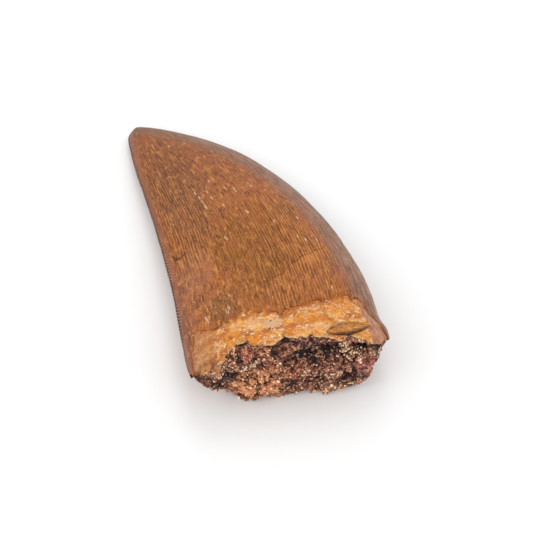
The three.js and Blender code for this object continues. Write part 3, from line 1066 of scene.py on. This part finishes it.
def paint_enamel_mottle(n):
    """Blotches, grit and fine mottling; gives the mottling."""
    blotch = n.noise((0.9, 1.5, 1.2), 5, 0.7, offset=(1, 5, 2))
    n.paint(RED_BROWN, n.step(blotch, 0.5, 0.66, 0, 0.7))
    n.paint(STRIA_LIGHT, n.step(blotch, 0.48, 0.34, 0, 0.55))
    grit = n.noise(0.2, 3, 0.65)
    n.paint(STRIA_DARK, n.step(grit, 0.5, 0.68, 0, 0.65))
    n.paint(STRIA_LIGHT, n.step(grit, 0.47, 0.32, 0, 0.5))
    mottle = n.noise((0.34, 1.5, 1), 4, 0.7, 0.6, (6, 1, 4), n.place("strand"))
    n.paint(STRIA_DARK, n.step(mottle, 0.53, 0.66, 0, 0.85))
    n.paint(STRIA_LIGHT, n.step(mottle, 0.47, 0.34, 0, 0.85))
    stain = n.noise((2.0, 3.2, 2.4), 3, 0.6, 0.6, (4, 9, 2))
    n.paint((158, 88, 52), n.step(stain, 0.52, 0.62, 0, 0.45))
    return mottle


def growth_line_share(n):
    """1 on the part of the upper face that the growth line crosses."""
    return n.times(n.step(n.axis(ACROSS), -2, 2), n.step(n.axis(ACROSS), 10.8, 9.2))


def paint_striae(n):
    """Dark grooves and light ridges of the striae; gives their height."""
    strand = n.place("strand")
    wander = n.noise((1.7, 4.5, 1), 2, 0.5, place=strand)
    phase = n.add(n.times(n.parts(strand)[0], 2 * math.pi / STRIA_PITCH), n.times(wander, 9))
    wave = n.times(n.math("SINE", phase), 0.16)
    value = n.add(wave, n.noise((0.3, 3.2, 1), 2, 0.6, 0.3, place=strand))
    groove, ridge = n.step(value, 0.56, 0.7), n.step(value, 0.44, 0.3)
    streak = n.step(n.noise((0.8, 7, 1), 3, 0.6, 0.3, (7, 0, 0), strand), 0.53, 0.68)
    lined = n.number("lined")
    n.paint(STRIA_DARK, streak, n.step(lined, 0.1, 0.6, 0.2, 0.45))
    n.paint(STRIA_DARK, groove, lined, 0.75)
    n.paint(STRIA_LIGHT, ridge, lined, 0.6)
    return n.times(n.add(ridge, n.times(groove, -1)), lined)


def paint_enamel_margins(n):
    """Margins in painted reflection and sheen, threaded along the mesial edge, painted shade at the very
    edges, and rungs of painted light and shade on the saw teeth.
    """
    rim, along, rung = n.number("rim_reach"), n.axis(ALONG), n.number("rung")
    # painted reflection of the pale floor: pinkish grey along the distal edge
    n.paint((146, 98, 80), n.step(n.number("distal_reach"), 1.8, 0.7, 0, 0.65))
    # the threads are the enamel's own fine lines; their grey is painted sheen, the reflection of the pale
    # floor along the mesial edge
    threads = n.noise((0.35, 3.2, 1), 3, 0.6, 0.2, (2, 0, 0), n.place("strand"))
    threaded = n.mix(n.step(threads, 0.42, 0.58), (104, 74, 60), (152, 116, 96))
    n.paint(threaded, n.step(rim, 6.2, 3.6, 0, 0.65))
    # painted shade close to the mesial edge, over most of its length
    n.paint((88, 62, 50), n.step(rim, 2.8, 0.8), n.step(along, 16, 24, 0, 0.65))
    n.paint((80, 54, 44), n.step(rim, 1.25, 0.7), n.step(along, 6, 12, 0, 0.6))
    # painted shade in the notches between the saw teeth, and painted light on the teeth
    n.paint(DARK_BROWN, n.step(rung, 0.0, 0.8, 0, 0.75))
    n.paint((220, 148, 108), n.step(rung, 0.0, -0.8, 0, 0.65))
    # painted shade: a dark line at the very edges
    for edge in ("rim_reach", "distal_reach"):
        n.paint(DARK_BROWN, n.step(n.number(edge), 0.45, 0.1, 0, 0.75))


def paint_enamel_marks(n):
    """The growth line, orange flecks along the lower edge, light specks of painted glints on pale chips,
    dark specks, glints of painted highlight, and cracks.
    """
    line = n.step(n.math("ABSOLUTE", n.number("line_height")), 0.2, 0.04)
    n.paint(STRIA_DARK, line, growth_line_share(n), 0.5)
    flecks = n.step(n.noise(0.6, 4, 0.7, 0.6), 0.5, 0.62, 0, 0.7)
    n.paint(FLECK_ORANGE, n.step(n.number("to_edge"), 1.4, 0.0), flecks)
    # light specks: pale chips brightened as painted glints
    distance, own = n.cells((0.8, 1.3, 1), (3, 1, 2))
    picked = n.step(n.math("FRACT", n.times(own, 7.31)), 0.62, 0.64)
    n.paint((226, 160, 104), n.step(distance, 0.18, 0.06), picked, 0.7)
    distance, _ = n.cells((1.1, 1.6, 1), (8, 3, 5))
    n.paint(DARK_BROWN, n.step(distance, 0.12, 0.04, 0, 0.7))
    # painted highlights on the tiny ridges
    n.paint((250, 214, 176), n.number("glint"), 0.75)
    n.paint(DARK_BROWN, n.number("crack"), 0.85)


def enamel_material():
    n = Nodes(bpy.data.materials.new("enamel"))
    paint_enamel_zones(n)
    mottle = paint_enamel_mottle(n)
    height = n.number("line_height")
    below_line = n.times(n.step(height, 0.05, -0.15), n.step(height, -3.5, -0.5))
    n.paint((196, 118, 56), below_line, growth_line_share(n), 0.5)
    striae = paint_striae(n)
    n.paint((140, 82, 0), n.spot(0, 19, 9, 13), 0.18)
    paint_enamel_margins(n)
    paint_enamel_marks(n)
    normal = n.bump(mottle, 0.12, under=n.bump(striae, 0.05))
    return n.finish(n.step(n.noise((1.5, 6, 2), 4), 0.35, 0.7, 0.3, 0.45), normal, specular=0.2)


# ---- Dentine material ----

# Deep orange parts of the dentine: across, along, reach across, reach along, share.
ORANGE_PARTS = [
    (-4.4, 1.0, 3.2, 1.4, 0.55),
    (1.4, 0.8, 3.0, 1.2, 0.5),
    (-7.6, 2.6, 1.8, 1.6, 0.45),
    (4.6, 2.0, 2.6, 1.0, 0.4),
    (8.6, 4.0, 2.8, 1.4, 0.75),
    (3.0, 2.6, 1.6, 1.0, 0.4),
]
# Small brown-orange stains in it.
STAINS = [
    (-5.2, 2.3, 0.9, 0.5, 0.8),
    (-2.8, 2.0, 0.7, 0.5, 0.8),
    (-0.8, 2.1, 0.8, 0.6, 0.7),
    (-2.0, 4.7, 0.9, 0.6, 0.7),
    (-8.2, 2.6, 0.8, 0.6, 0.7),
    (7.7, 4.8, 1.2, 0.5, 0.6),
    (2.2, 3.4, 0.9, 0.5, 0.6),
]
# Smooth paler parts of it.
PALE_PARTS = [
    (-4.2, 3.8, 1.7, 1.2, 0.75),
    (5.1, 4.3, 0.9, 0.7, 0.8),
    (3.6, 1.0, 1.4, 0.7, 0.5),
    (-6.8, 4.0, 1.0, 1.0, 0.5),
]
PIN_HOLES = [(-1.7, 3.3, 0.2), (-2.1, 2.1, 0.24), (8.6, 0.45, 0.18)]  # across, along, reach


def paint_dentine_grain(n):
    """Orange-tan dentine with cream clouds, veins, rusty parts and a fine grain."""
    n.colour = n.mix(n.step(n.noise((2.4, 1.4, 2), 4), 0.4, 0.6), (206, 118, 16), (252, 178, 84))
    n.paint(CREAM, n.step(n.noise(1.3, 4, 0.55, 0.8, (4, 2, 0)), 0.53, 0.6, 0, 0.7))
    n.paint(VEIN, n.thread(n.noise((1.7, 0.9, 1.2), 5, 0.6, 1.6, (9, 1, 3)), 0.045), 0.8)
    n.paint((184, 96, 12), n.step(n.noise(0.8, 4, 0.65, 0.5, (2, 8, 1)), 0.54, 0.66), 0.5)
    fine = n.noise((0.5, 0.35, 0.4), 5, 0.75, 1.2, (3, 4, 8))
    n.paint((255, 222, 160), n.step(fine, 0.57, 0.68, 0, 0.5))
    n.paint((176, 94, 14), n.step(fine, 0.44, 0.32, 0, 0.4))


def paint_dentine_parts(n):
    """Deep orange and ragged pale parts, small stains, hairlines, and glints of painted highlight that look
    damp and glossy.
    """
    for *place, share in ORANGE_PARTS:
        n.paint((232, 136, 14), n.spot(*place), share)
    ragged = n.step(n.noise(0.7, 3, 0.6, 0.6, (5, 1, 6)), 0.36, 0.52)
    for parts, tint in ((PALE_PARTS, (248, 190, 132)), (STAINS, (176, 88, 10))):
        for *place, share in parts:
            n.paint(tint, n.step(n.spot(*place), 0.05, 0.4), ragged, share)
    n.paint((150, 72, 8), n.thread(n.noise((0.9, 0.4, 0.6), 4, 0.65, 1.2, (7, 7, 2)), 0.016), 0.5)
    # painted highlights: small white glints
    painted_glint = n.step(n.noise((0.7, 0.4, 0.4), 3, 0.6, 1.5, (2, 2, 7)), 0.57, 0.63)
    n.paint((255, 242, 220), painted_glint, n.step(n.noise(1.7, 3, 0.6, offset=(8, 8, 3)), 0.45, 0.54), 0.8)


def paint_dentine_edges(n):
    """Darker beside the enamel, with islands of it, and a pale edge along the break with a painted highlight
    on it.
    """
    to_edge = n.number("to_edge")
    n.paint((178, 98, 34), n.step(to_edge, 1.2, 0.0), n.step(n.noise(0.7, 3), 0.4, 0.6))
    islands = n.step(n.noise(0.8, 4, 0.6, 0.4, (7, 3, 9)), 0.52, 0.58)
    n.paint((176, 96, 36), n.step(to_edge, 2.4, 0.3), islands, 0.6)
    # the pale worn edge along the break, brightened further as a painted highlight
    n.paint((238, 204, 150), n.step(n.number("to_rim"), 0.45, 0.0, 0, 0.7))


def paint_flake(n):
    """The loose flake, fibrous and darker at its mesial end, and painted shade in the crease round it."""
    fibre = n.step(n.noise((1.6, 0.22, 0.3), 3, 0.6, 0.4, (1, 7, 2)), 0.4, 0.62)
    flake = n.mix(fibre, (142, 78, 20), (226, 146, 58))
    flake = n.mix(n.step(n.axis(ACROSS), 10.4, 12, 0, 0.7), flake, (84, 62, 42))
    n.paint(flake, n.number("flake"), 0.7)
    # painted shade in the crease round the flake
    n.paint(DARK_BROWN, n.number("crease"))


def paint_dentine_marks(n):
    """A pale smear, both weathered ends, pin holes and pits."""
    n.paint((226, 180, 138), n.spot(-1.6, 2.9, 2.0, 1.0), 0.9)
    n.paint((176, 114, 74), n.step(n.axis(ACROSS), -8.5, -12, 0, 0.6))
    streaks = n.step(n.noise((0.3, 1.4, 0.5), 4, 0.6, 0.5), 0.4, 0.62)
    weathered = n.mix(streaks, (202, 144, 112), (146, 90, 62))
    n.paint(weathered, n.step(n.add(n.axis(ACROSS), n.noise(1.1, 3)), 12.0, 12.7, 0, 0.85))
    stained = n.step(n.noise(0.8, 4, 0.65, 0.5, (3, 3, 1)), 0.42, 0.58)
    n.paint((96, 54, 38), n.spot(-12.2, -0.8, 2.6, 1.9), stained, 0.9)
    for across, along, reach in PIN_HOLES:
        n.paint((86, 40, 26), n.spot(across, along, reach, reach, 0.4))
    distance, _ = n.cells(0.6, (1, 2, 3))
    pitted = n.step(n.noise(2.4, 2, offset=(5, 5, 5)), 0.57, 0.64)
    n.paint((96, 46, 24), n.step(distance, 0.2, 0.08), pitted, 0.6)


def paint_broken_wall(n):
    """The cut through the dentine, crusted dark at its distal end."""
    section = n.mix(n.noise(0.5, 3), (226, 172, 128), (166, 98, 64))
    crust = n.mix(n.step(n.noise(0.5, 4, 0.65, 0.4, (2, 9, 4)), 0.4, 0.6), (74, 48, 44), (164, 112, 96))
    section = n.mix(n.step(n.axis(ACROSS), -9.5, -11.5, 0, 0.85), section, crust)
    n.paint(section, n.step(n.number("wall"), 0.02, 0.1))


def dentine_material():
    n = Nodes(bpy.data.materials.new("dentine"))
    paint_dentine_grain(n)
    paint_dentine_parts(n)
    paint_dentine_edges(n)
    paint_flake(n)
    paint_dentine_marks(n)
    paint_broken_wall(n)
    normal = n.bump(n.noise((0.35, 0.25, 0.3), 5, 0.7, 0.8), 0.22)
    normal = n.bump(n.noise(1.0, 3, 0.5, 0.8, (3, 3, 3)), 0.5, under=normal)
    rough = n.step(n.noise(0.9, 3), 0.35, 0.65, 0.16, 0.4)
    return n.finish(rough, normal, specular=0.15, coat=0.25, coat_roughness=0.08)


# ---- Sandstone and sand grain materials ----

# Parts of the broken face with a colour of their own, and dark ones that are painted shade where marked:
# across, out, reach across, reach out, share, colour.
STONE_ZONES = [
    (-5.5, -2.4, 4.4, 4.2, 0.95, (255, 172, 118)),
    (-6.6, 3.9, 2.4, 1.3, 0.75, (192, 114, 90)),
    (-3.9, 4.2, 1.8, 1.1, 0.75, (214, 132, 88)),
    # painted shade: the dark band in the hollow above the orange clump
    (-5.4, 1.6, 3.6, 1.0, 0.7, (84, 44, 44)),
    (-2.4, 1.1, 1.5, 1.1, 0.8, (224, 136, 88)),
    (-0.6, -1.0, 2.2, 1.7, 0.75, (224, 140, 100)),
    (-1.0, 3.9, 1.8, 1.0, 0.6, (196, 112, 76)),
    (2.8, 4.6, 4.8, 1.1, 0.85, (118, 68, 66)),
    (-1.6, 3.2, 2.8, 1.6, 0.65, (160, 98, 78)),
    # painted shade: the hollow under the rim
    (3.7, 2.0, 4.3, 1.6, 1.0, (42, 28, 33)),
    (3.4, -3.3, 3.0, 0.8, 0.4, (74, 52, 46)),
    (-1.6, -4.9, 2.4, 1.0, 0.7, (70, 44, 44)),
    (5.2, -0.8, 1.9, 1.7, 0.55, (92, 54, 52)),
    (8.6, -1.0, 2.0, 1.1, 0.75, (184, 112, 98)),
    (12.6, 1.2, 1.6, 1.4, 0.7, (152, 120, 98)),
    (6.6, -4.5, 3.2, 1.0, 0.7, (84, 64, 58)),
    (2.6, -4.8, 1.6, 0.8, 0.5, (176, 124, 92)),
    (10.6, -0.5, 2.6, 2.0, 0.85, (174, 92, 90)),
    # painted shade: a low hollow towards the mesial end
    (9.0, -2.9, 2.4, 0.9, 0.75, (56, 40, 44)),
    (-3.6, -4.6, 2.2, 0.8, 0.5, (120, 76, 58)),
    # painted shade: the near-black gap under the rim at the mesial end
    (11.0, 2.4, 2.4, 0.8, 0.95, (26, 22, 22)),
    (-11.2, 0.9, 2.4, 2.2, 0.7, (160, 116, 92)),
    # painted shade: the hollow beside the orange clump, towards the distal end
    (-9.6, 0.0, 1.9, 1.8, 0.9, (46, 32, 34)),
    (-12.2, -1.2, 2.2, 2.4, 0.7, (126, 76, 58)),
    (-10.4, -1.4, 1.6, 1.6, 0.6, (60, 42, 40)),
]
# Shaded hollows where the grains are dark as well: across, out, reach across, reach out.
DARK_HOLLOWS = [(3.7, 2.0, 4.0, 1.6), (11.2, 2.4, 2.0, 0.7), (9.0, -2.9, 2.2, 0.8), (-9.6, 0.0, 1.6, 1.6)]


def paint_stone(n):
    """The sandstone's cement: maroon, with rusty, pink, grey and near-black parts, the near-black ones in
    its hollows painted shade.
    """
    n.colour = n.mix(n.step(n.noise(0.9, 4, 0.6), 0.4, 0.6), (48, 27, 32), (166, 98, 80))
    patch = n.step(n.noise(0.8, 4, 0.65, 0.5, (2, 2, 2)), 0.32, 0.5, 0.45, 1)
    for *place, share, tint in STONE_ZONES:
        n.paint(tint, n.step(n.spot(*place, axis=OUT), 0.0, 0.5), patch, share)
    n.paint((224, 152, 104), n.step(n.noise(0.6, 3, 0.6, 0.4, (6, 2, 4)), 0.58, 0.68, 0, 0.6))
    n.paint((184, 128, 96), n.step(n.axis(OUT), -4.4, -5.6, 0, 0.5))


def sandstone_material():
    n = Nodes(bpy.data.materials.new("sandstone"))
    paint_stone(n)
    distance, own = n.cells(0.3)
    n.paint((232, 174, 130), n.step(own, 0.76, 0.8, 0, 0.6))
    n.paint((32, 19, 21), n.step(own, 0.3, 0.26, 0, 0.75))
    # painted shade: dark in the low parts of the crags and in the creases between the lumps
    n.paint((24, 14, 16), n.step(n.number("crag"), 0.1, -0.3, 0, 0.8))
    n.paint((20, 12, 14), n.number("crease"), 0.85)
    return n.finish(0.8, n.bump(n.step(distance, 0.6, 0.0), 0.2), specular=0.3)


# From the darkest grain to the brightest: tone, colour.
GRAIN_TONES = [
    (0.0, (34, 20, 24)), (0.25, (88, 48, 48)), (0.5, (206, 136, 102)),
    (0.68, (255, 208, 160)), (0.78, (240, 204, 156)), (1.0, (255, 240, 210)),
]


def grain_material():
    """Dull grains the colour of the stone, and bright ones except in the shaded hollows."""
    n = Nodes(bpy.data.materials.new("sand_grains"))
    tone = n.number("tone")
    bright = n.ramp(tone, GRAIN_TONES)
    hollow_shade = 0.0
    for place in DARK_HOLLOWS:
        hollow_shade = n.add(hollow_shade, n.step(n.spot(*place, axis=OUT), 0.0, 0.4, 0, 0.8))
    paint_stone(n)
    # painted shade: in the hollows the grains take the shaded stone colour instead of their own brightness
    n.paint(bright, n.step(tone, 0.3, 0.6, 0.3, 1.0), n.step(hollow_shade, 0.8, 0.0, 0.2, 1.0))
    return n.finish(n.step(tone, 0.3, 1.0, 0.6, 0.3), None, specular=0.5)


face_points, face_heights = stone_piece(sandstone_material())
grain_piece(grain_material(), face_points, face_heights)
dentine_piece(dentine_material())
enamel_piece(enamel_material())


# ---- Floor, light and camera: not part of the object ----

VIEW_AZIMUTH = math.radians(-13)
VIEW_ELEVATION = math.radians(54)
VIEW_DISTANCE = 185.6 * MM
VIEW_TARGET = Vector(((SHIFT + np.array([2.04, 20.34, 0])) * MM).tolist())
FIELD_OF_VIEW = math.radians(26)
SENSOR = 36
FLOOR_HALF_WIDTH = 3.0
FLOOR_COLOUR = (0.9, 0.9, 0.9, 1)
FLOOR_DROP = 0.02 * MM  # keeps the floor from showing through the flat that rests on it
LIGHTS = {
    "key": {"azimuth": 160, "elevation": 55, "distance": 0.6, "size": 0.3, "watts": 0.5},
    "fill": {"azimuth": -80, "elevation": 40, "distance": 0.6, "size": 0.4, "watts": 0.3},
}
# The white surroundings: strength up to the first height and from the second one, as the sine of elevation.
SKY = {"strengths": (1.17, 1.0), "heights": (0.2, 0.8)}


def direction(azimuth, elevation):
    """From the object to where a light or the camera stands."""
    flat = math.cos(elevation)
    return Vector((math.sin(azimuth) * flat, -math.cos(azimuth) * flat, math.sin(elevation)))


def stand(thing, place, target):
    """Puts a lamp or camera into the scene, facing its target."""
    thing.location = place
    thing.rotation_euler = (place - target).to_track_quat("Z", "Y").to_euler()
    bpy.context.scene.collection.objects.link(thing)


def add_floor():
    mesh = bpy.data.meshes.new("floor")
    size = FLOOR_HALF_WIDTH
    corners = [(-size, -size, 0), (size, -size, 0), (size, size, 0), (-size, size, 0)]
    mesh.from_pydata(corners, [], [range(4)])
    n = Nodes(bpy.data.materials.new("floor"))
    n.colour = FLOOR_COLOUR
    mesh.materials.append(n.finish(0.75, None, specular=0.2))
    floor = bpy.data.objects.new("floor", mesh)
    floor.location.z = -FLOOR_DROP
    bpy.context.scene.collection.objects.link(floor)


def add_light(name, azimuth, elevation, distance, size, watts):
    data = bpy.data.lights.new(name, "AREA")
    data.shape = "DISK"
    data.size = size
    data.energy = watts
    place = direction(math.radians(azimuth), math.radians(elevation)) * distance
    stand(bpy.data.objects.new(name, data), place, Vector())


def add_world():
    """White surroundings, brighter towards the horizon than overhead."""
    n = Nodes(bpy.data.worlds.new("studio"))
    height = n.parts(n.node("TexCoord", {}).outputs["Generated"])[2]
    fade = n.node("MapRange", dict(enumerate((height, *SKY["heights"], *SKY["strengths"]))))
    background = n.tree.nodes["Background"]
    n.plug(background.inputs["Color"], (1, 1, 1, 1))
    n.plug(background.inputs["Strength"], fade.outputs[0])
    bpy.context.scene.world = n.owner


def add_camera():
    data = bpy.data.cameras.new("camera")
    data.sensor_width = SENSOR
    data.lens = SENSOR / 2 / math.tan(FIELD_OF_VIEW / 2)
    data.clip_start = 0.005
    data.clip_end = 20
    camera = bpy.data.objects.new("camera", data)
    stand(camera, VIEW_TARGET + direction(VIEW_AZIMUTH, VIEW_ELEVATION) * VIEW_DISTANCE, VIEW_TARGET)
    bpy.context.scene.camera = camera


add_floor()
for name, light in LIGHTS.items():
    add_light(name, **light)
add_world()
add_camera()
bpy.context.scene.view_settings.view_transform = "Standard"
